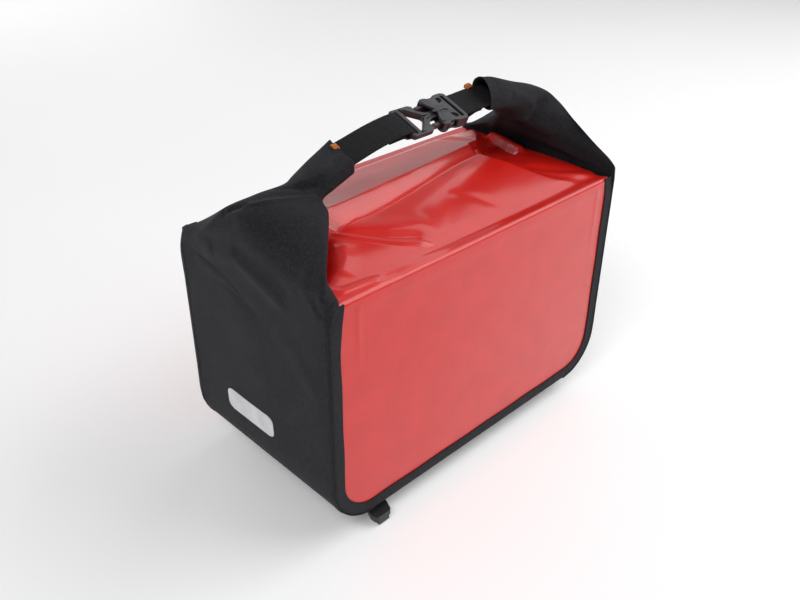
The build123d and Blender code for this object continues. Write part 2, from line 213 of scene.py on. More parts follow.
class Socket:
    """A shader socket that Python expressions can work on."""

    def __init__(self, build, out):
        self.build, self.out = build, out

    def math(self, operation, *others):
        values = {index: value for index, value in enumerate((self, *others))}
        return self.build.node("ShaderNodeMath", {"operation": operation}, values)

    def __add__(self, other):
        return self.math("ADD", other)

    def __mul__(self, other):
        return self.math("MULTIPLY", other)

    def wave(self, pitch):
        """A sine of this length along the socket, from -1 to 1."""
        return (self * (2 * math.pi / pitch)).math("SINE")

    def size(self):
        return self.math("ABSOLUTE")

    def power(self, exponent):
        return self.math("POWER", exponent)

    def above(self, low, high):
        """0 at low, 1 at high, held between."""
        return self.build.node(
            "ShaderNodeMapRange", {"clamp": True}, {"Value": self, "From Min": low, "From Max": high}
        )


class Finish:
    """Builds one material."""

    def __init__(self, name):
        self.material = bpy.data.materials.new(name)
        self.material.use_nodes = True
        self.tree = self.material.node_tree
        self.tree.nodes.clear()

    def node(self, kind, settings=None, sockets=None, out=0):
        made = self.tree.nodes.new(kind)
        for key, value in (settings or {}).items():
            setattr(made, key, value)
        for key, value in (sockets or {}).items():
            if isinstance(value, Socket):
                self.tree.links.new(value.out, made.inputs[key])
            else:
                made.inputs[key].default_value = value
        return Socket(self, made.outputs[out])

    def cloth(self):
        """The piece's own flat coordinates, in metres."""
        flat = self.node("ShaderNodeTexCoord", out="UV")
        axes = self.node("ShaderNodeSeparateXYZ", {}, {0: flat}).out.node.outputs
        return Socket(self, axes["X"]), Socket(self, axes["Y"])

    def noise(self, scale, detail, roughness=0.5):
        """Noise in the piece's own space, with scale as cells in a metre."""
        place = self.node("ShaderNodeTexCoord", out="Object")
        sockets = {"Vector": place, "Scale": scale, "Detail": detail, "Roughness": roughness}
        return self.node("ShaderNodeTexNoise", {}, sockets)

    def mix(self, factor, first, second):
        return self.node("ShaderNodeMix", {"data_type": "RGBA"}, {0: factor, 6: first, 7: second}, out=2)

    def bump(self, height, strength, distance):
        sockets = {"Height": height, "Strength": strength, "Distance": distance}
        return self.node("ShaderNodeBump", {}, sockets)

    def finish(self, **sockets):
        """Closes the material with a Principled shader, its sockets named with underscores."""
        values = {}
        for key, value in sockets.items():
            values[key.replace("_", " ").title().replace("Ior", "IOR")] = value
        shader = self.node("ShaderNodeBsdfPrincipled", {}, values)
        output = self.tree.nodes.new("ShaderNodeOutputMaterial")
        self.tree.links.new(shader.out, output.inputs["Surface"])
        return self.material


def plain_weave(make, pitch):
    """Height of a plain weave, from 0 to 1, with its threads a pitch apart."""
    along, across = make.cloth()
    return (along.wave(2 * pitch) * across.wave(2 * pitch)).size().power(0.5)


def make_tarpaulin(colour):
    make = Finish("red_tarpaulin")
    scrim = plain_weave(make, 1.5 * MM)
    soft = make.noise(22, 2)
    tone = make.noise(45, 4)
    deep = (colour[0] * 0.9, colour[1] * 0.8, colour[2] * 0.8, 1)
    base = make.mix(tone.above(0.35, 0.7), (*colour, 1), deep)
    relief = make.bump(scrim + soft * 0.6, 0.75, 0.13 * MM)
    return make.finish(
        base_color=base,
        roughness=soft.above(0.3, 0.7) * 0.08 + 0.3,
        normal=relief,
        specular_ior_level=0.3,
        coat_weight=0.7,
        coat_roughness=0.15,
        coat_ior=1.5,
    )


def make_woven(name, colour, pitch, sheen):
    make = Finish(name)
    weave = plain_weave(make, pitch)
    patch = make.noise(28, 4)
    fleck = make.noise(520, 2, 0.7)
    light = tuple(min(1, c * 4.2 + 0.003) for c in colour)
    thread = weave * 0.35 + fleck.above(0.46, 0.6) * 0.65
    base = make.mix(thread * (patch.above(0.2, 0.8) * 0.6 + 0.4), (*colour, 1), (*light, 1))
    relief = make.bump(weave + fleck * 0.9, 1.0, 0.4 * MM)
    return make.finish(
        base_color=base,
        roughness=patch.above(0.3, 0.7) * 0.12 + 0.62,
        normal=relief,
        specular_ior_level=0.22,
        sheen_weight=sheen,
        sheen_roughness=0.45,
        sheen_tint=(0.75, 0.78, 0.9, 1),
    )


def make_plastic(name, colour, rough):
    make = Finish(name)
    fine = make.noise(900, 3)
    broad = make.noise(60, 3)
    light = tuple(min(1, c * 1.25 + 0.003) for c in colour)
    base = make.mix(broad.above(0.35, 0.7), (*colour, 1), (*light, 1))
    relief = make.bump(fine, 0.25, 0.08 * MM)
    return make.finish(
        base_color=base,
        roughness=broad.above(0.3, 0.7) * 0.08 + rough,
        normal=relief,
        specular_ior_level=0.5,
    )


def make_metal(name, colour):
    make = Finish(name)
    brushed = make.noise(400, 4)
    dull = tuple(c * 0.8 for c in colour)
    base = make.mix(brushed, (*colour, 1), (*dull, 1))
    return make.finish(
        base_color=base,
        metallic=1.0,
        roughness=brushed.above(0.3, 0.7) * 0.1 + 0.32,
        normal=make.bump(brushed, 0.15, 0.05 * MM),
    )


materials = {}


# ---- Red covers ----


COVER_GRID = (196, 240)
FACE_ROWS, CREASE_ROWS = 0.24, 0.1  # shares of a cover's rows on its face and round its crease
FACE_LIFT = 1.5  # lower edge of a red face above the bag's floor
FACE_BACK = 0.9  # red faces behind the bag's outside
CREASE_RADIUS = 3.2
BOARD_EDGES = (29, 307)  # where the front board prints through, from the bag's left side
BOARD_TOP = 0.955  # its top as a share of the height
ROLL_END = 254  # right end of the rolled edge, from the bag's left side
ROLL_RISE = 24
RIDGE_FROM, RIDGE_BACK = 80, 84  # a point of the ridge, from the left side and from the front
RIDGE_SKEW = 0.095
FLAP_RISE, FLAP_GAIN = 9.5, 4  # height of the roll's foot at the left, and what the right adds
FOOT_AHEAD = 17  # the roll's foot in front of its ridge
VALLEY = 0.72  # share of its height that the top loses past the flap's edge
# Where the front flap folds down beside the right ear: (back from the front, from the left).
FLAP_EDGE = (
    (0, 324), (6, 304), (14, 290), (28, 278), (46, 270), (62, 264),
    (78, 257), (92, 254), (110, 268), (130, 292), (150, 312), (177, 324),
)
# Folds in the red top as (path from the left and from the front, height, width).
TOP_FOLDS = (
    (((52, 84), (64, 70), (80, 46), (98, 28), (122, 14)), 1.5, 1.8),
    (((60, 84), (76, 62), (96, 40), (122, 24)), -1.2, 5),
    (((64, 92), (80, 72), (104, 50), (140, 34)), 1.2, 11),
    (((178, 62), (196, 42), (208, 20)), -0.45, 6),
    (((276, 60), (296, 34), (324, 8)), 1.1, 6),
    (((280, 66), (300, 40), (326, 20)), -1.2, 7),
    (((268, 156), (266, 128), (262, 106)), -1.2, 2.6),
    (((275, 154), (274, 128), (271, 108)), 0.9, 5),
    (((8, 22), (24, 10), (44, 8), (60, 6)), 1.3, 3.2),
    (((10, 28), (26, 40), (42, 58), (52, 72)), -7.5, 8.5),
    (((34, 22), (52, 38), (64, 54)), 1.2, 6),
    (((268, 94), (286, 86), (302, 72)), -1.0, 7),
)
LIP_PATH = ((322, 142), (319, 120), (315, 102), (309, 82))
SLOT_PATH = ((315, 134), (310, 116), (306, 100), (303, 86))
TOP_DETAILS = (*TOP_FOLDS, (LIP_PATH, 5.5, 4.6), (SLOT_PATH, -4.2, 2.6))


def top_height(x, y):
    """Height of the red top above the creases; x from the left side and y from the front face."""
    ridge_y = RIDGE_BACK + RIDGE_SKEW * (x - RIDGE_FROM)
    foot = FLAP_RISE + FLAP_GAIN * smooth(110, 230, x)
    rise = np.clip(y / (ridge_y - FOOT_AHEAD), 0, 1)
    fall = np.clip((WIDTH - y) / (WIDTH - ridge_y), 0, 1)
    even = 0.4 * rise + 0.6 * smooth(0.16, 0.95, rise)
    domed = 1 - (1 - rise) ** 1.6
    right = smooth(110, 200, x)
    base = foot * np.where(y < ridge_y, even * right + domed * (1 - right), fall**0.9)
    base *= 1 - smooth(105, 160, y) * smooth(75, 12, x)
    edge = np.interp(y, *zip(*FLAP_EDGE))
    past = np.clip((x - edge) / (LENGTH - edge), 0, 1)
    base *= (1 - VALLEY * smooth(0, 13, x - edge)) * (1 - past)
    ahead = np.clip(ridge_y - y, 0, None)
    reach = 1.5 * (ROLL_RISE - foot)
    front = smooth(reach - 5, -5, ahead)
    end = smooth(ROLL_END + 3, ROLL_END - 4, x - 0.25 * (y - ridge_y))
    roll = (ROLL_RISE - foot) * front * fall
    roll *= smooth(4, 50, x) * np.where(y < ridge_y + 6, end, 1) * smooth(318, 262, x)
    height = base + roll
    places = np.stack([x, y], 1)
    for path, fold, width in TOP_DETAILS:
        height += fold_ridge(places, path, fold, width)
    height += 0.3 * np.sin(x / 21 + y / 31) * np.sin(y / 17 - x / 60)
    tuck = 13 * smooth(100, 160, y) * smooth(66, 24, x)
    return height * smooth(0, 12, x + 4) * smooth(LENGTH + 3, LENGTH - 8, x) - tuck


def front_edge(z, inset=1.2):
    """Half the sheet's width at a height, inside the rounded lower corners."""
    radius = CORNER - inset
    low = np.clip(FLOOR + CORNER - z, 0, radius)
    return LENGTH / 2 - CORNER + np.sqrt(radius**2 - low**2)


def red_sheet(side, split):
    """Place function of a red cover: up the face, over the crease and along the top to split."""
    upright = HEIGHT - FACE_LIFT - CREASE_RADIUS
    turn = CREASE_RADIUS * math.pi / 2
    run = split - CREASE_RADIUS

    def place(u, v):
        stops = (0, FACE_ROWS, FACE_ROWS + CREASE_ROWS, 1)
        along = np.interp(v, stops, (0, upright, upright + turn, upright + turn + run))
        angle = np.clip((along - upright) / CREASE_RADIUS, 0, math.pi / 2)
        beyond = np.clip(along - upright - turn, 0, None)
        depth = CREASE_RADIUS * (1 - np.cos(angle)) + beyond
        up = FACE_LIFT + np.minimum(along, upright) + CREASE_RADIUS * np.sin(angle)
        spans = ((30, 4), (10, 0), (22, 4), (45, 2))
        near_top = [smooth(HEIGHT - low, HEIGHT - high, up) for low, high in spans]
        half = front_edge(FLOOR + up) - 3.4 * near_top[0] - 2 * near_top[1]
        x = (u - 0.5) * 2 * half
        x += 7 * near_top[2] * smooth(30, 0, x - LEFT)
        from_left = x - LEFT
        from_front = depth if side < 0 else WIDTH - depth
        lift = top_height(from_left, from_front) * smooth(0, 9, depth)
        lift += 0.7 * bump(depth, 4, 3) * smooth(75, 50, from_left)
        lift -= 2.2 * bump(depth, 12, 7) * smooth(70, 130, from_left)
        level = np.clip(up / HEIGHT, 0, 1)
        puff = 1.1 * np.sin(np.pi * u) * np.sin(np.pi * level)
        if side < 0:
            first, last = BOARD_EDGES
            for edge in BOARD_EDGES:
                below = smooth(0.6, 0.9, level) * (level < BOARD_TOP + 0.007)
                puff += 0.45 * bump(from_left, edge, 2.2) * below
            inside = smooth(first - 5, first + 5, from_left) * smooth(last + 5, last - 5, from_left)
            puff += 0.5 * bump(level, BOARD_TOP, 0.011) * inside
        else:
            lift -= 7 * smooth(62, 16, from_left) * near_top[3] * smooth(70, 0, depth)
        y = side * (WIDTH / 2 - FACE_BACK - depth + puff * smooth(4, 0, depth))
        return np.stack([x, y, FLOOR + up + lift], 1), np.stack([x, along], 1)

    return place


COVERED_NODES = ("front_panel", "closure_roll", "front_mouth_strip", "back_mouth_strip")


class BAG_OT_red_covers(bpy.types.Operator):
    """Adds the red front and back covers, which meet over the closure roll"""

    bl_idname = "bag.red_covers"
    bl_label = "Red Covers"

    def execute(self, context):
        roll = context.scene.bag_sizes.roll_split / MM
        for name, side, split, nodes in (
            ("front_cover", -1, roll, COVERED_NODES),
            ("back_cover", 1, WIDTH - roll + 1, ("back_panel",)),
        ):
            piece = add_surface(name, *COVER_GRID, red_sheet(side, split))
            if side > 0:
                edit(piece, (bpy.ops.mesh.flip_normals, {}))
            modify(piece, "SOLIDIFY", thickness=context.scene.bag_sizes.fabric, offset=-1)
            shade(piece)
            dress(piece, "red_tarpaulin", "root", *nodes)
        return {"FINISHED"}


# ---- Black gusset, ears and horns ----

# Each loop goes round the folded side: seven points over the outside from front to back, then five
# back along the inside. Each point is (in from the side, back from the front face, above the floor).
LEFT_LOOPS = (
    ((0, 2, 203), (0, 20, 204), (0, 55, 205), (-1, 90, 206), (-1, 125, 206), (0, 156, 203),
     (2, 172, 199), (7, 170, 199), (6, 130, 203), (5, 88, 203), (7, 42, 204), (11, 1, 201.5)),
    ((0.5, 2.5, 210), (2, 18, 214), (3, 50, 217), (0, 90, 223), (0, 122, 221), (3, 148, 212),
     (6, 163, 204), (8, 162, 203), (11, 128, 211), (13, 88, 212), (12, 45, 210), (13, 8, 208)),
    ((10, 12, 221), (12, 28, 225), (12, 55, 231), (6, 90, 237), (7, 114, 234), (15, 134, 223),
     (21, 146, 212), (24, 144, 210), (28, 122, 216), (30, 92, 218), (26, 52, 217), (14, 17, 216)),
    ((30, 33, 229), (31, 45, 235), (30, 65, 242), (24, 88, 245), (26, 104, 242), (35, 117, 233),
     (42, 125, 222), (46, 123, 218), (50, 108, 222), (52, 90, 223), (46, 60, 223), (35, 38, 224)),
    ((56, 62, 233), (54, 68, 239), (50, 80, 243), (47, 90, 245), (49, 102, 243), (55, 110, 238),
     (62, 112, 231), (66, 110, 227), (68, 102, 226), (68, 90, 226), (65, 75, 227), (59, 65, 230)),
    ((61, 75, 237), (60, 78, 241), (58, 85, 245), (57, 92, 248), (58, 102, 247), (62, 109, 243),
     (66, 111, 237), (68, 109, 233), (69, 102, 231), (69, 92, 231), (66, 83, 233), (63, 76, 235)),
    ((72, 75, 242), (72, 77, 248), (71, 84, 252), (71, 92, 254), (72, 101, 255), (74, 106, 253),
     (75, 108, 247), (76, 106, 242), (76, 99, 240), (76, 91, 240), (75, 83, 240), (73, 76, 240)),
    ((93, 75, 251), (93, 76, 257), (93, 84, 259), (94, 92, 261), (95, 101, 263), (96, 106, 264),
     (96, 108, 258), (96, 106, 252), (95, 99, 250), (94, 91, 249), (94, 82, 247), (93, 76, 247)),
)
RIGHT_LOOPS = (
    ((0, 2, 203), (0, 20, 203), (0, 55, 204), (-1, 90, 204), (-1, 125, 204), (0, 158, 203),
     (0, 175, 200), (3, 173, 200), (3, 130, 202), (3, 88, 202), (3, 45, 201), (3, 4, 202)),
    ((0, 5, 211), (0, 22, 215), (0, 55, 222), (-1, 88, 226), (0, 120, 222), (0, 150, 212),
     (2, 168, 204), (5, 166, 203), (9, 125, 211), (10, 88, 212), (7, 48, 209), (3, 8, 208)),
    ((0, 25, 222), (0, 38, 230), (-1, 60, 239), (-1, 88, 244), (1, 112, 238), (4, 135, 226),
     (7, 150, 215), (12, 147, 212), (19, 120, 220), (20, 88, 222), (13, 55, 219), (4, 29, 219)),
    ((2, 54, 240), (2, 59, 246), (3, 67, 252), (5, 88, 257), (8, 105, 253), (12, 118, 242),
     (16, 127, 230), (22, 125, 226), (29, 108, 231), (31, 88, 233), (23, 66, 232), (5, 53, 237)),
    ((16, 66, 256), (15, 70, 262), (18, 79, 265), (22, 88, 266), (26, 100, 263), (30, 108, 256),
     (34, 110, 246), (39, 108, 240), (44, 98, 240), (46, 88, 241), (42, 75, 243), (30, 67, 248)),
    ((44, 70, 262), (43, 74, 269), (43, 82, 273), (45, 89, 273), (48, 97, 270), (52, 103, 264),
     (54, 105, 258), (56, 104, 254), (58, 97, 251), (58, 88, 250), (56, 78, 251), (50, 71, 255)),
    ((64, 71, 267), (64, 75, 274), (64, 82, 279), (66, 88, 281), (68, 94, 280), (70, 99, 276),
     (71, 102, 270), (72, 101, 265), (73, 96, 260), (73, 88, 257), (71, 79, 256), (67, 72, 259)),
    ((86, 74, 265), (86, 74, 270), (85, 78, 278), (84, 85, 284), (82, 92, 284), (81, 98, 280),
     (80, 101, 274), (80, 101, 268), (81, 96, 264), (83, 88, 261), (84, 81, 259), (86, 75, 260)),
)
# Folds pressed into each side as (path, rise, width), in the loops' terms.
LEFT_FOLDS = (
    (((60, 73, 240), (36, 77, 244), (17, 89, 243), (8, 103, 238)), 1.5, 2.4),
    (((58, 80, 244), (38, 86, 247), (20, 98, 243), (10, 110, 236)), -3.2, 6),
    (((14, 100, 240), (9, 107, 237), (4, 116, 232)), -4, 4),
    (((8, 110, 236), (0, 131, 215), (0, 154, 198)), 1.5, 3),
    (((9, 96, 231), (0, 112, 214), (0, 134, 198)), -1.4, 7),
    (((36, 104, 243), (54, 86, 246), (64, 79, 245)), -2.2, 3),
    (((0, 150, 188), (0, 100, 203), (0, 72, 193), (0, 38, 182)), 1.6, 6),
    (((0, 104, 213), (0, 66, 205), (0, 34, 196)), -1.3, 8),
    (((0, 165, 184), (0, 115, 175), (0, 70, 160)), -0.9, 5),
    (((0, 60, 160), (0, 36, 150), (0, 10, 120)), 0.8, 9),
    (((12, 26, 222), (2, 22, 208), (0, 8, 196)), 0.9, 4),
    (((4, 8, 210), (0, 10, 202), (0, 3, 194)), -1.6, 3),
    (((92, 88, 262), (78, 84, 256), (66, 82, 250)), 0.8, 4),
)
RIGHT_FOLDS = (
    (((16, 74, 258), (29, 68, 253), (33, 72, 242), (26, 94, 231)), -3, 4.5),
    (((56, 78, 256), (52, 92, 244), (30, 112, 228), (6, 138, 207)), 2, 4),
    (((70, 78, 259), (58, 80, 252), (44, 84, 244)), -2.4, 4),
    (((62, 72, 270), (48, 72, 264), (30, 68, 252)), 1.2, 4),
    (((46, 76, 243), (30, 72, 236), (16, 58, 224)), 1.6, 5),
    (((40, 92, 238), (24, 84, 228), (10, 56, 212)), -1.6, 6),
    (((14, 84, 220), (9, 54, 212), (4, 24, 206)), 1.2, 5),
    (((0, 100, 214), (0, 70, 205), (0, 34, 196)), -1.2, 9),
    (((0, 140, 196), (0, 90, 184), (0, 40, 178)), 1.2, 9),
)
SIDE_GRID = (320, 300)
WALL_INSET = 0.3  # black sides in from the bag's outside
SLACK = 0.55
OUTER_SHARES = (0.012, 0.11, 0.31, 0.5, 0.7, 0.89, 0.988)
INNER_SHARES = (0.985, 0.735, 0.5, 0.255, 0.02)


def wall_swell(share, rise):
    """How far a side stands proud, at a share of the way back and a height above the lower corner."""
    return 1.3 * np.sin(np.pi * share) * np.sin(np.pi * np.clip(rise / 150, 0, 1))


def wall_loops(fabric):
    """Loops of the plain side below the ear: round the lower corner, then up."""
    loops = []
    stations = [(math.radians(90 - turn), 0) for turn in (0, 22, 45, 68, 90)]
    stations += [(0, rise) for rise in (30, 70, 110, 140)]
    for angle, rise in stations:
        loop = []
        for shares, inset in ((OUTER_SHARES, WALL_INSET), (INNER_SHARES, WALL_INSET + fabric)):
            radius = CORNER - inset
            for share in shares:
                reach = CORNER - radius * math.cos(angle) - wall_swell(share, rise)
                level = CORNER - radius * math.sin(angle) + rise
                loop.append((reach, share * WIDTH, level))
        loops.append(loop)
    return loops


def mouth_loops(neck, tip):
    """Turns the horn's end in on itself, so that its mouth is hollow."""
    loops = []
    for shrink, share in ((0.97, -0.02), (0.92, 0.02), (0.88, 0.3), (0.86, 0.6)):
        loop = tip + (neck - tip) * share
        middle = loop.mean(0)
        loops.append(middle + (loop - middle) * shrink)
    return loops


def side_surface(side, ear_loops, fabric):
    """Place function of a side: one skin lofted through the loops of its wall, ear and horn."""
    neck, tip = np.array(ear_loops[-2:], float)
    collar = [neck + (tip - neck) * share for share in (0.5, 0.9)]
    loops = [*wall_loops(fabric), *ear_loops[:-1], *collar, tip, *mouth_loops(neck, tip)]
    loops = np.array(loops, float)
    spread = np.linalg.norm(np.diff(loops, axis=0), axis=2).mean(1)
    climb = np.concatenate([[0], np.cumsum(spread)])

    def place(u, v):
        levels = np.unique(v)
        rows = np.interp(levels, climb / climb[-1], np.linspace(0, 1, len(loops)))
        controls = catmull(loops, rows)
        index = np.searchsorted(levels, v)
        where = np.empty((len(u), 3))
        for row in range(len(levels)):
            here = index == row
            where[here] = catmull(controls[row], u[here], closed=True)
        reach, back, level = where.T
        x = side * (LENGTH / 2 - reach)
        where = np.stack([x, FRONT + back, FLOOR + level], 1)
        return where, np.stack([u * 2 * WIDTH, v * climb[-1]], 1)

    return place


def press_folds(piece, side, folds):
    """Moves a side's cloth in and out along its folds, and adds its slack."""
    mesh = piece.data
    where = np.empty(len(mesh.vertices) * 3)
    out = np.empty(len(mesh.vertices) * 3)
    mesh.vertices.foreach_get("co", where)
    mesh.vertices.foreach_get("normal", out)
    where, out = where.reshape(-1, 3) / MM, out.reshape(-1, 3)
    inward = LENGTH / 2 - side * where[:, 0]
    places = np.stack([inward, where[:, 1] - FRONT, where[:, 2] - FLOOR], 1)
    rise = np.zeros(len(places))
    for path, height, width in folds:
        rise += fold_ridge(places, path, height, width)
    slack = np.sin(places[:, 1] / 19 + places[:, 2] / 27) * np.sin(places[:, 2] / 23 - places[:, 1] / 47)
    edges = smooth(0, 14, places[:, 1]) * smooth(WIDTH, WIDTH - 14, places[:, 1])
    rise += SLACK * slack * edges * smooth(25, 110, places[:, 2])
    where += out * rise[:, None]
    mesh.vertices.foreach_set("co", (where * MM).ravel())
    mesh.update()


class BAG_OT_sides(bpy.types.Operator):
    """Adds each black side with the ear and horn that its upper end is folded into"""

    bl_idname = "bag.sides"
    bl_label = "Sides and Ears"

    def execute(self, context):
        fabric = context.scene.bag_sizes.fabric / MM
        for name, side, loops, folds, nodes in (
            ("left_side", -1, LEFT_LOOPS, LEFT_FOLDS, ("left_gusset", "left_ear")),
            ("right_side", 1, RIGHT_LOOPS, RIGHT_FOLDS, ("right_gusset", "right_ear")),
        ):
            piece = add_surface(name, *SIDE_GRID, side_surface(side, loops, fabric))
            edit(
                piece,
                (bpy.ops.mesh.remove_doubles, {"threshold": 1e-5}),
                (bpy.ops.mesh.normals_make_consistent, {"inside": False}),
            )
            press_folds(piece, side, folds)
            shade(piece)
            dress(piece, "black_fabric", "root", *nodes)
        return {"FINISHED"}


# ---- Edging ----

# Across the edging: (in from the outline, proud of the face), from its inner edge round the corner.
EDGING_SECTION = (
    (11.5, -1.0), (11.6, -0.2), (11.2, 0.25), (9.5, 0.35), (6, 0.4), (3, 0.3),
    (1.4, -0.1), (0.5, -0.9), (0.05, -2.0), (-0.15, -3.0), (-0.1, -3.7), (0.5, -3.9),
)
EDGING_GRID = (400, 34)
EDGING_CLOTH = 0.8
BACK_DROP = 2  # upper ends of the back edging below the crease


def edging_surface(side):
    """Place function of an edging: down the left of a face, along its bottom and up the right."""
    top = CREASE - (0 if side < 0 else BACK_DROP)
    straight = top - FLOOR - CORNER
    arc = CORNER * math.pi / 2
    base = LENGTH - 2 * CORNER
    total = 2 * straight + 2 * arc + base

    def place(u, v):
        along = u * total
        across = catmull(EDGING_SECTION, v)
        ends = smooth(16, 0, along) + smooth(total - 16, total, along)
        inset = across[:, 0] * (1 + 0.25 * smooth(40, 0, along))
        inset += 0.25 * np.sin(along * 0.11) * (across[:, 0] > 8) + 2.2 * ends
        proud = across[:, 1] - 0.8 * ends
        first = np.clip((along - straight) / CORNER, 0, math.pi / 2)
        second = np.clip((along - straight - arc - base) / CORNER, 0, math.pi / 2)
        flat = np.clip(along - straight - arc, 0, base)
        x = CORNER * (1 - np.cos(first) + np.sin(second)) + flat - LENGTH / 2
        z = top - np.clip(along, 0, straight) + np.clip(along - total + straight, 0, None)
        z += CORNER * (1 - np.cos(second) - np.sin(first))
        x += inset * np.cos(first + second)
        z += inset * np.sin(first + second)
        y = side * (WIDTH / 2 + proud)
        return np.stack([x, y, z], 1), np.stack([along, inset], 1)

    return place


class BAG_OT_edging(bpy.types.Operator):
    """Adds the black edging folded over the rims of both red faces"""

    bl_idname = "bag.edging"
    bl_label = "Edging"

    def execute(self, context):
        for name, side in (("front_rim", -1), ("back_rim", 1)):
            piece = add_surface(name, *EDGING_GRID, edging_surface(side))
            if side < 0:
                edit(piece, (bpy.ops.mesh.flip_normals, {}))
            modify(piece, "SOLIDIFY", thickness=EDGING_CLOTH * MM, offset=-1)
            shade(piece)
            node = "front_edging" if side < 0 else "back_edging"
            dress(piece, "edging_fabric", "root", node)
        return {"FINISHED"}


# ---- Buckle ----

STRAP_TILT = math.radians(21)
MOUTH_X = 21  # the socket's mouth, right of the bag's middle
STRAP_Z = CREASE + 65
TILT = Matrix.Rotation(STRAP_TILT, 4, "X")
BUCKLE_PLACE = Matrix.Translation(Vector((MOUTH_X, 0, STRAP_Z)) * MM) @ TILT
BAR_LEFT, BAR_RIGHT = -31.2, 27.0  # the bars that the straps go round, along from the mouth


def soften(outline, radius, steps=4):
    """Rounds each corner of an outline."""
    outline = np.asarray(outline, float)
    count, soft = len(outline), []
    for index, corner in enumerate(outline):
        ends = []
        for other in (outline[index - 1], outline[(index + 1) % count]):
            away = other - corner
            length = np.linalg.norm(away)
            ends.append(corner + away / length * min(radius, 0.45 * length))
        for t in np.linspace(0, 1, steps):
            soft.append((1 - t) ** 2 * ends[0] + 2 * t * (1 - t) * corner + t * t * ends[1])
    return soft


def mirrored(outline):
    """The outline's other half across the buckle's middle line."""
    return [(x, -y) for x, y in reversed(outline)]


def add_plate(outlines, low, high, edge=0.4, radius=0.8):
    """Adds a plate with softened outlines, inner ones cut out, between two levels, edges rounded."""
    deselect()
    bpy.ops.curve.primitive_bezier_circle_add(radius=MM)
    plate = bpy.context.object
    shape = plate.data
    shape.splines.clear()
    shape.dimensions, shape.fill_mode = "2D", "BOTH"
    for outline in outlines:
        soft = soften(outline, radius)
        spline = shape.splines.new("POLY")
        spline.points.add(len(soft) - 1)
        for point, (x, y) in zip(spline.points, soft):
            point.co = (x * MM, y * MM, 0, 1)
        spline.use_cyclic_u = True
    shape.extrude = ((high - low) / 2 - edge) * MM
    shape.bevel_depth, shape.bevel_resolution, shape.offset = edge * MM, 2, -edge * MM
    bpy.ops.object.convert(target="MESH")
    plate = bpy.context.object
    plate.location.z = (high + low) / 2 * MM
    bpy.ops.object.transform_apply(location=True, rotation=True, scale=True)
    return plate


def add_pair(outline, *levels):
    """Adds a plate and its mirror image."""
    return [add_plate([half], *levels) for half in (outline, mirrored(outline))]


def add_bar(along, radius=1.8, length=29):
    """Adds a round bar across the buckle."""
    deselect()
    bpy.ops.mesh.primitive_cylinder_add(
        vertices=24,
        radius=radius * MM,
        depth=length * MM,
        location=(along * MM, 0, 0),
        rotation=(math.pi / 2, 0, 0),
    )
    bpy.ops.object.transform_apply(location=True, rotation=True, scale=True)
    return bpy.context.object


def assemble(name, parts, place):
    """Joins parts into one piece, sets it in its place and cleans its mesh."""
    deselect()
    for part in parts:
        part.select_set(True)
    bpy.context.view_layer.objects.active = parts[0]
    if len(parts) > 1:
        bpy.ops.object.join()
    piece = bpy.context.object
    piece.name = piece.data.name = name
    piece.matrix_world = place
    bpy.ops.object.transform_apply(location=True, rotation=True, scale=True)
    edit(
        piece,
        (bpy.ops.mesh.remove_doubles, {"threshold": 1e-6}),
        (bpy.ops.mesh.normals_make_consistent, {"inside": False}),
    )
    shade(piece, 35)
    return piece


# Outlines as (right of the socket's mouth, back from the buckle's middle line).
SOCKET_SIDE = [
    (-0.6, 12.4), (0, 15.6), (2.6, 17), (6, 16.6), (9.5, 14.9),
    (13, 14.9), (16.5, 16.6), (19, 17), (25.5, 17), (28.8, 14.8),
]
SOCKET_MOUTH = [(4.5, 2.2), (1.2, 8)]
STRAP_SLOT = [(22.2, -13.9), (25.1, -13.9), (25.1, 13.9), (22.2, 13.9)]
POCKET = [(15.2, 6.4), (20.2, 8.6), (20.2, 12.8), (16.4, 12.8)]
RIDGE_STEM = [
    (1.2, -1.3), (13.5, -1.1), (16.4, -3.4), (17.6, -2.4), (15.4, 0),
    (17.6, 2.4), (16.4, 3.4), (13.5, 1.1), (1.2, 1.3),
]
RIDGE_ARM = [(0.2, 12.6), (0.2, 9.4), (5.2, 1.2), (7.6, 0.6), (3.4, 8.4), (2.6, 13.4)]


class BAG_OT_buckle_socket(bpy.types.Operator):
    """Adds the buckle's socket half"""

    bl_idname = "bag.buckle_socket"
    bl_label = "Buckle Socket"

    def execute(self, context):
        face = SOCKET_MOUTH + SOCKET_SIDE
        shell = face + mirrored(face)
        wall = [(0.4, 14.6), (0.4, 16.4), (5, 16.4), (5, 14.9)]
        block = [(16.2, 14), (16.2, 16.8), (28.6, 16.8), (28.6, 14)]
        parts = [
            add_plate([shell, STRAP_SLOT, POCKET, mirrored(POCKET)], 2.9, 4.5),
            add_plate([shell, STRAP_SLOT], -4.5, -2.9),
            add_plate([[(19.2, -16.4), (22, -16.4), (22, 16.4), (19.2, 16.4)]], -3.2, 3.2),
            add_plate([RIDGE_STEM], 4.2, 5.3, 0.35, 0.6),
            add_bar(BAR_RIGHT),
        ]
        for outline in (wall, block):
            parts += add_pair(outline, -3.2, 3.2)
        parts += add_pair(RIDGE_ARM, 4.2, 5.3, 0.35, 0.6)
        piece = assemble("buckle_socket", parts, BUCKLE_PLACE)
        dress(piece, "buckle_plastic", "root", "buckle_female")
        return {"FINISHED"}


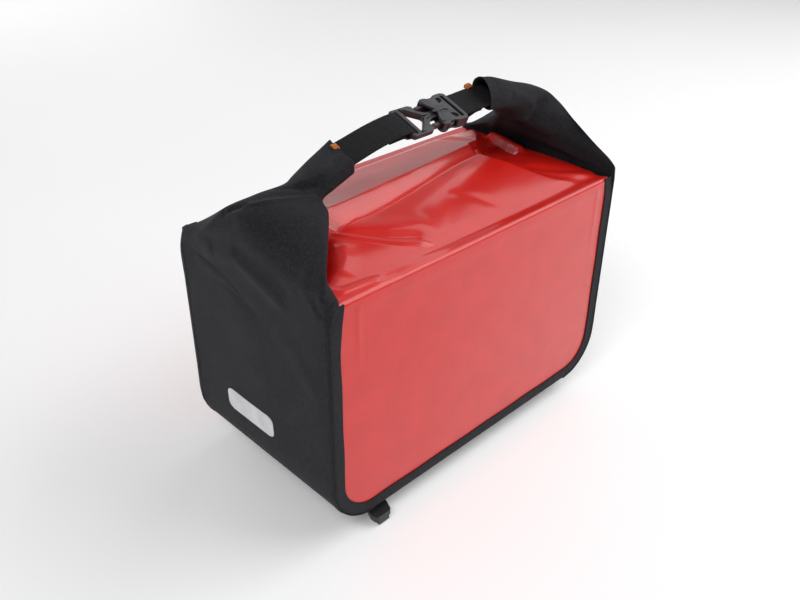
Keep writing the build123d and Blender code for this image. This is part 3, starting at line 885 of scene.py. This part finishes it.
PLUG_SIDE = [
    (-33, 14.6), (-31.2, 16.5), (-20, 16.5), (-12, 16.3), (-8.8, 14.4),
    (-8.8, 8.2), (-2.4, 3.9), (15, 3.6), (16, 2),
]
BUCKLE_HOLE = [(-29.3, -13.9), (-26.3, -13.9), (-26.3, 13.9), (-29.3, 13.9)]
PLUG_NOTCH = [(-22.3, -13.2), (-20.4, -12.4), (-9.6, -1.4), (-9.6, 1.4), (-20.4, 12.4), (-22.3, 13.2)]
PLUG_RIDGE = [
    (-22.4, 15.2), (-22.4, 12.8), (-19.4, 12.2), (-8.8, 0.8),
    (-3, 0.6), (-3, 2.4), (-7.6, 2.6), (-18.4, 14.6),
]
PINCH_ARM = [
    (-8.2, 9.6), (-8.2, 12.4), (3.4, 13), (5.4, 14), (5.8, 16.5), (9, 16.7), (12.4, 15.9), (15.4, 13.4),
    (16, 11), (13.6, 9.8), (0, 9.8),
]


class BAG_OT_buckle_plug(bpy.types.Operator):
    """Adds the buckle's plug half"""

    bl_idname = "bag.buckle_plug"
    bl_label = "Buckle Plug"

    def execute(self, context):
        parts = [
            add_plate([PLUG_SIDE + mirrored(PLUG_SIDE), BUCKLE_HOLE, PLUG_NOTCH], -2.2, 2.2, 0.5),
            add_bar(BAR_LEFT),
        ]
        parts += add_pair(PLUG_RIDGE, 1.9, 3.3, 0.4, 0.6)
        piece = assemble("buckle_plug", parts, BUCKLE_PLACE)
        dress(piece, "buckle_plastic", "buckle_male_half", "buckle_male")
        return {"FINISHED"}


class BAG_OT_pinch_arms(bpy.types.Operator):
    """Adds the two arms that are pinched to open the buckle"""

    bl_idname = "bag.pinch_arms"
    bl_label = "Pinch Arms"

    def execute(self, context):
        for name, outline, body, node in (
            ("pinch_arm_front", mirrored(PINCH_ARM), "arm_front", "buckle_arm_front"),
            ("pinch_arm_back", PINCH_ARM, "arm_back", "buckle_arm_back"),
        ):
            piece = assemble(name, [add_plate([outline], -2.4, 2.4, 0.5, 1.0)], BUCKLE_PLACE)
            dress(piece, "buckle_plastic", body, node)
        return {"FINISHED"}


# ---- Straps ----

WEB_HALF = 12.5
WEB = 1.6
WEB_GRID = (260, 16)
LOOP = 2.8  # middle of the webbing, round a bar
# Each strap's middle line as (along the bag from its middle, above the buckle's plane).
LEFT_RUN = ((-82, -13.6), (-72, -10.6), (-60, -6.6), (-47, -2.6), (-34, 0.6), (-22, 2.6), (-14, 3.1))
RIGHT_RUN = ((94, 4.9), (79, 4.3), (70, 4.1), (63, 3.7), (56, 3.2), (52, 3.0))


def strap_path(run, bar, side, tail):
    """A strap's line: in from the ear, round its bar and back under itself to the end of its tail."""
    turn = [math.radians(angle) for angle in np.linspace(90, -90, 13)]
    loop = [(bar - side * LOOP * math.cos(a), LOOP * math.sin(a)) for a in turn]
    ahead = [(bar + side * 4.5, -2.2), (bar + side * 9, -0.2)]
    under = [(x, z - WEB - 0.1) for x, z in reversed(run) if 13 < side * (x - bar) < tail]
    return np.array([*run, *loop, *ahead, *under])


def strap_surface(path, twist):
    """Place function of a strap along its line, a little crowned and twisted at its root."""
    lengths = np.linalg.norm(np.diff(path, axis=0), axis=1)
    total = lengths.sum()
    places = np.concatenate([[0], np.cumsum(lengths)]) / total
    index = np.linspace(0, 1, len(path))

    def place(u, v):
        line = catmull(path, np.interp(u, places, index))
        across = (v - 0.5) * 2 * WEB_HALF
        crown = -0.25 * (2 * v - 1) ** 2 + twist * (v - 0.5) * smooth(0.3, 0, u)
        x, z = line[:, 0], line[:, 1] + crown
        cos, sin = math.cos(STRAP_TILT), math.sin(STRAP_TILT)
        where = np.stack([x, across * cos - z * sin, STRAP_Z + across * sin + z * cos], 1)
        return where, np.stack([u * total, across], 1)

    return place


class BAG_OT_straps(bpy.types.Operator):
    """Adds both straps of webbing, each sewn back on itself round its bar"""

    bl_idname = "bag.straps"
    bl_label = "Straps"

    def execute(self, context):
        for name, run, bar, side, tail, node in (
            ("left_webbing", LEFT_RUN, MOUTH_X + BAR_LEFT, -1, 30, "left_strap"),
            ("right_webbing", RIGHT_RUN, MOUTH_X + BAR_RIGHT, 1, 24, "right_strap"),
        ):
            path = strap_path(run, bar, side, tail)
            piece = add_surface(name, *WEB_GRID, strap_surface(path, -2.0 * side))
            modify(piece, "SOLIDIFY", thickness=WEB * MM, offset=0)
            shade(piece, 50)
            dress(piece, "strap_webbing", None if side < 0 else "root", node)
            if side < 0:
                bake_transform(piece)
        return {"FINISHED"}


# Section of the folded tape, and each tape's shift from its node's middle onto the webbing's edge.
TAPE_FOLD = [
    (-3, -2), (2.2, -2), (3.2, 0), (2.2, 2), (-3, 2),
    (-3, 1.1), (1.6, 1.1), (2.2, 0), (1.6, -1.1), (-3, -1.1),
]
TAPES = (
    ("left_tape", "left_anchor_tape", (-2.5, 7.5, -7.5)),
    ("right_tape", "right_anchor_tape", (3, -4.5, 5.5)),
)


class BAG_OT_orange_tapes(bpy.types.Operator):
    """Adds the small orange tape loop sewn in where each strap enters its ear"""

    bl_idname = "bag.orange_tapes"
    bl_label = "Orange Tapes"

    def execute(self, context):
        for name, node, shift in TAPES:
            low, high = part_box(node)
            middle = (low + high) / 2
            place = Matrix.Translation(middle + Vector(shift) * MM) @ TILT
            place = place @ Matrix.Rotation(math.pi / 2, 4, "X")
            if middle.x > 0:
                place = place @ Matrix.Rotation(math.pi, 4, "Z")
            piece = assemble(name, [add_plate([TAPE_FOLD], -2.6, 2.6, 0.2, 0.5)], place)
            dress(piece, "orange_tape", "root", node)
        return {"FINISHED"}


# ---- Reflective bars ----


FILM_CORNER = 6
FILM_PROUD = 0.35
FILM = 0.5


def film_surface(side, node):
    """Place function of a rounded bar of film that follows the side's swell."""
    low, high = (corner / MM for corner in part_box(node))
    middle, half = (low + high) / 2, (high - low) / 2

    def place(u, v):
        level = 2 * v - 1
        cut = np.clip((np.abs(level) * half.z - half.z + FILM_CORNER) / FILM_CORNER, 0, 1)
        y = middle.y + (2 * u - 1) * (half.y - FILM_CORNER * (1 - np.sqrt(1 - cut**2)))
        z = middle.z + level * half.z
        swell = wall_swell((y - FRONT) / WIDTH, z - FLOOR - CORNER)
        x = side * (LENGTH / 2 - WALL_INSET + swell + FILM_PROUD)
        return np.stack([x, y, z], 1), np.stack([y, z], 1)

    return place


class BAG_OT_reflectors(bpy.types.Operator):
    """Adds the plain reflective bar pressed onto each side"""

    bl_idname = "bag.reflectors"
    bl_label = "Reflective Bars"

    def execute(self, context):
        for name, side, node in (("left_bar", -1, "left_reflector"), ("right_bar", 1, "right_reflector")):
            piece = add_surface(name, 44, 16, film_surface(side, node))
            modify(piece, "SOLIDIFY", thickness=FILM * MM, offset=0)
            edit(piece, (bpy.ops.mesh.normals_make_consistent, {"inside": False}))
            shade(piece, 40)
            dress(piece, "reflective_film", "root", node)
        return {"FINISHED"}


# ---- Fittings that keep their own shape ----

NODE_FINISHES = {
    "black_fabric": ("base_panel",),
    "board_plastic": ("front_board", "back_board", "floor_board"),
    "plate_aluminium": ("backing_plate",),
    "adapter_plastic": ("adapter_plate", "latch_lever"),
    "screw_steel": ("adapter_screws", "adapter_washers", "adapter_nuts", "latch_pivot"),
}
# Middle of the leaf spring as shares of the node's box, from the post to the end that meets the lever.
SPRING_LINE = ((0, 1), (0, 0.72), (0, 0.54), (0.16, 0.38), (0.5, 0.21), (1, 0))
SPRING_LEAF = 0.5


class BAG_OT_leaf_spring(bpy.types.Operator):
    """Builds the latch's leaf spring, bent from its post to the end that meets the lever"""

    bl_idname = "bag.leaf_spring"
    bl_label = "Leaf Spring"

    def execute(self, context):
        low, high = (np.array(corner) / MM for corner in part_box("latch_spring"))
        low[0] += SPRING_LEAF / 2
        high[0] -= SPRING_LEAF / 2

        def place(u, v):
            line = low[:2] + catmull(SPRING_LINE, u) * (high - low)[:2]
            z = low[2] + v * (high[2] - low[2])
            return np.column_stack([line, z]), np.column_stack([u * 16, z])

        piece = add_surface("leaf_spring", 40, 2, place)
        modify(piece, "SOLIDIFY", thickness=SPRING_LEAF * MM, offset=0)
        shade(piece, 40)
        dress(piece, "screw_steel", None, "latch_spring")
        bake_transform(piece)
        return {"FINISHED"}


class BAG_OT_fittings(bpy.types.Operator):
    """Gives the pieces that keep the frame's shape their finishes"""

    bl_idname = "bag.fittings"
    bl_label = "Fittings"

    def execute(self, context):
        for slot, nodes in NODE_FINISHES.items():
            for node in nodes:
                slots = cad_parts[node].data.materials
                slots.clear()
                slots.append(materials[slot])
        return {"FINISHED"}


# ---- Materials and stage ----


class BAG_OT_finishes(bpy.types.Operator):
    """Makes every material of the bag"""

    bl_idname = "bag.finishes"
    bl_label = "Finishes"

    def execute(self, context):
        sizes = context.scene.bag_sizes
        black = tuple(sizes.black)
        materials["red_tarpaulin"] = make_tarpaulin(tuple(sizes.red))
        for name, colour, pitch, sheen in (
            ("black_fabric", black, 0.9, 0.06),
            ("edging_fabric", black, 0.75, 0.06),
            ("strap_webbing", (0.0026, 0.0026, 0.003), 1.3, 0.03),
            ("orange_tape", (0.8, 0.13, 0.02), 0.6, 0.06),
        ):
            materials[name] = make_woven(name, colour, pitch * MM, sheen)
        for name, colour, rough in (
            ("buckle_plastic", (0.022, 0.022, 0.026), 0.35),
            ("adapter_plastic", (0.018, 0.018, 0.02), 0.45),
            ("board_plastic", (0.4, 0.4, 0.4), 0.5),
            ("reflective_film", (0.62, 0.62, 0.64), 0.4),
        ):
            materials[name] = make_plastic(name, colour, rough)
        materials["plate_aluminium"] = make_metal("plate_aluminium", (0.7, 0.7, 0.72))
        materials["screw_steel"] = make_metal("screw_steel", (0.55, 0.55, 0.57))
        return {"FINISHED"}


# The viewpoint: its place in millimetres, its angles in degrees.
VIEW_PLACE = (-457.6, -453.4, 511.5)
VIEW_TURN = -44.59
VIEW_TILT = 31.404
VIEW_ROLL = 0.4736
VIEW_LENS = 38.495
FLOOR_SIZE, FLOOR_GAP, FLOOR_GLOW = 12, 0.0005, 0.14
# Area lights as (name, place, width, power), all aimed at one point on the bag.
LIGHTS = (
    ("key_light", (1.25, -0.95, 1.55), 2.0, 29),
    ("flap_light", (1.55, 0.62, 1.65), 1.1, 4),
    ("side_light", (-1.5, -0.7, 2.0), 1.2, 24),
    ("back_light", (0.3, 2.1, 0.8), 1.6, 8),
)
LIGHT_AIM = Vector((0, 0, 0.12))
# Colour of the surroundings by height, from the horizon up.
SKY = ((0.0, (0.4, 0.4, 0.4, 1)), (0.2, (0.46, 0.46, 0.46, 1)), (0.48, (0.22, 0.22, 0.23, 1)))


class BAG_OT_stage(bpy.types.Operator):
    """Adds the pale floor, the soft lights, the surroundings and the camera"""

    bl_idname = "bag.stage"
    bl_label = "Stage"

    def execute(self, context):
        self.add_camera(context)
        self.add_floor()
        self.add_lights()
        self.add_surroundings(context)
        context.scene.view_settings.view_transform = "Standard"
        return {"FINISHED"}

    def add_camera(self, context):
        deselect()
        bpy.ops.object.camera_add()
        camera = context.object
        turn, tilt, roll = (math.radians(a) for a in (VIEW_TURN, VIEW_TILT, VIEW_ROLL))
        level = math.cos(tilt)
        back = Vector((math.sin(turn) * level, -math.cos(turn) * level, math.sin(tilt)))
        right = Vector((math.cos(turn), math.sin(turn), 0))
        up = back.cross(right)
        rolled_right = right * math.cos(roll) + up * math.sin(roll)
        rolled_up = up * math.cos(roll) - right * math.sin(roll)
        facing = Matrix((rolled_right, rolled_up, back)).transposed().to_4x4()
        camera.matrix_world = Matrix.Translation(Vector(VIEW_PLACE) * MM) @ facing
        camera.data.lens = VIEW_LENS
        camera.data.clip_start = 0.01
        context.scene.camera = camera

    def add_floor(self):
        deselect()
        bpy.ops.mesh.primitive_plane_add(size=FLOOR_SIZE, location=(0, 0, cad_low.z - FLOOR_GAP))
        floor = bpy.context.object
        floor.name = "floor"
        make = Finish("pale_floor")
        grain = make.noise(3, 2)
        base = make.mix(grain, (0.9, 0.9, 0.9, 1), (0.94, 0.94, 0.94, 1))
        pale = make.finish(
            base_color=base, roughness=0.7, emission_color=base, emission_strength=FLOOR_GLOW
        )
        floor.data.materials.append(pale)

    def add_lights(self):
        for name, place, size, power in LIGHTS:
            deselect()
            bpy.ops.object.light_add(type="AREA", location=place)
            light = bpy.context.object
            light.name = name
            light.data.energy = power
            light.data.shape = "RECTANGLE"
            light.data.size, light.data.size_y = size, 0.75 * size
            aim = LIGHT_AIM - Vector(place)
            light.rotation_euler = aim.to_track_quat("-Z", "Y").to_euler()

    def add_surroundings(self, context):
        world = bpy.data.worlds.new("studio")
        context.scene.world = world
        world.use_nodes = True
        tree = world.node_tree
        tree.nodes.clear()
        where = tree.nodes.new("ShaderNodeTexCoord")
        split = tree.nodes.new("ShaderNodeSeparateXYZ")
        ramp = tree.nodes.new("ShaderNodeValToRGB")
        light = tree.nodes.new("ShaderNodeBackground")
        output = tree.nodes.new("ShaderNodeOutputWorld")
        stops = ramp.color_ramp.elements
        for index, (height, colour) in enumerate(SKY):
            stop = stops[index] if index < 2 else stops.new(height)
            stop.position, stop.color = height, colour
        tree.links.new(where.outputs["Generated"], split.inputs[0])
        tree.links.new(split.outputs["Z"], ramp.inputs[0])
        tree.links.new(ramp.outputs[0], light.inputs["Color"])
        tree.links.new(light.outputs[0], output.inputs["Surface"])
        light.inputs["Strength"].default_value = 1.0


# ---- The add-on ----


class BagSizes(bpy.types.PropertyGroup):
    """Sizes and colours that a user of the bag would change"""

    fabric: bpy.props.FloatProperty(
        name="Fabric", description="Thickness of the coated fabric", default=1.2 * MM, unit="LENGTH"
    )
    roll_split: bpy.props.FloatProperty(
        name="Roll Line",
        description="Where the covers meet behind the ridge, back from the front face",
        default=104 * MM,
        unit="LENGTH",
    )
    red: bpy.props.FloatVectorProperty(
        name="Red", description="Colour of the tarpaulin", default=(0.66, 0.012, 0.007), subtype="COLOR"
    )
    black: bpy.props.FloatVectorProperty(
        name="Black",
        description="Colour of the woven sides",
        default=(0.0052, 0.0052, 0.0064),
        subtype="COLOR",
    )


class BAG_PT_panel(bpy.types.Panel):
    """Lists the bag's sizes and the steps that build it"""

    bl_idname = "BAG_PT_panel"
    bl_label = "Rack Bag"
    bl_space_type = "VIEW_3D"
    bl_region_type = "UI"
    bl_category = "Rack Bag"

    def draw(self, context):
        for name in BagSizes.__annotations__:
            self.layout.prop(context.scene.bag_sizes, name)
        for step in STEPS:
            self.layout.operator(step.bl_idname)


STEPS = (
    BAG_OT_stage,
    BAG_OT_finishes,
    BAG_OT_red_covers,
    BAG_OT_sides,
    BAG_OT_edging,
    BAG_OT_buckle_socket,
    BAG_OT_buckle_plug,
    BAG_OT_pinch_arms,
    BAG_OT_straps,
    BAG_OT_orange_tapes,
    BAG_OT_reflectors,
    BAG_OT_leaf_spring,
    BAG_OT_fittings,
)
CLASSES = (BagSizes, *STEPS, BAG_PT_panel)


def register():
    for each in CLASSES:
        bpy.utils.register_class(each)
    bpy.types.Scene.bag_sizes = bpy.props.PointerProperty(type=BagSizes)


def unregister():
    del bpy.types.Scene.bag_sizes
    for each in reversed(CLASSES):
        bpy.utils.unregister_class(each)


def main():
    register()
    for step in STEPS:
        group, operator = step.bl_idname.split(".")
        getattr(getattr(bpy.ops, group), operator)()


if __name__ == "__main__":
    main()
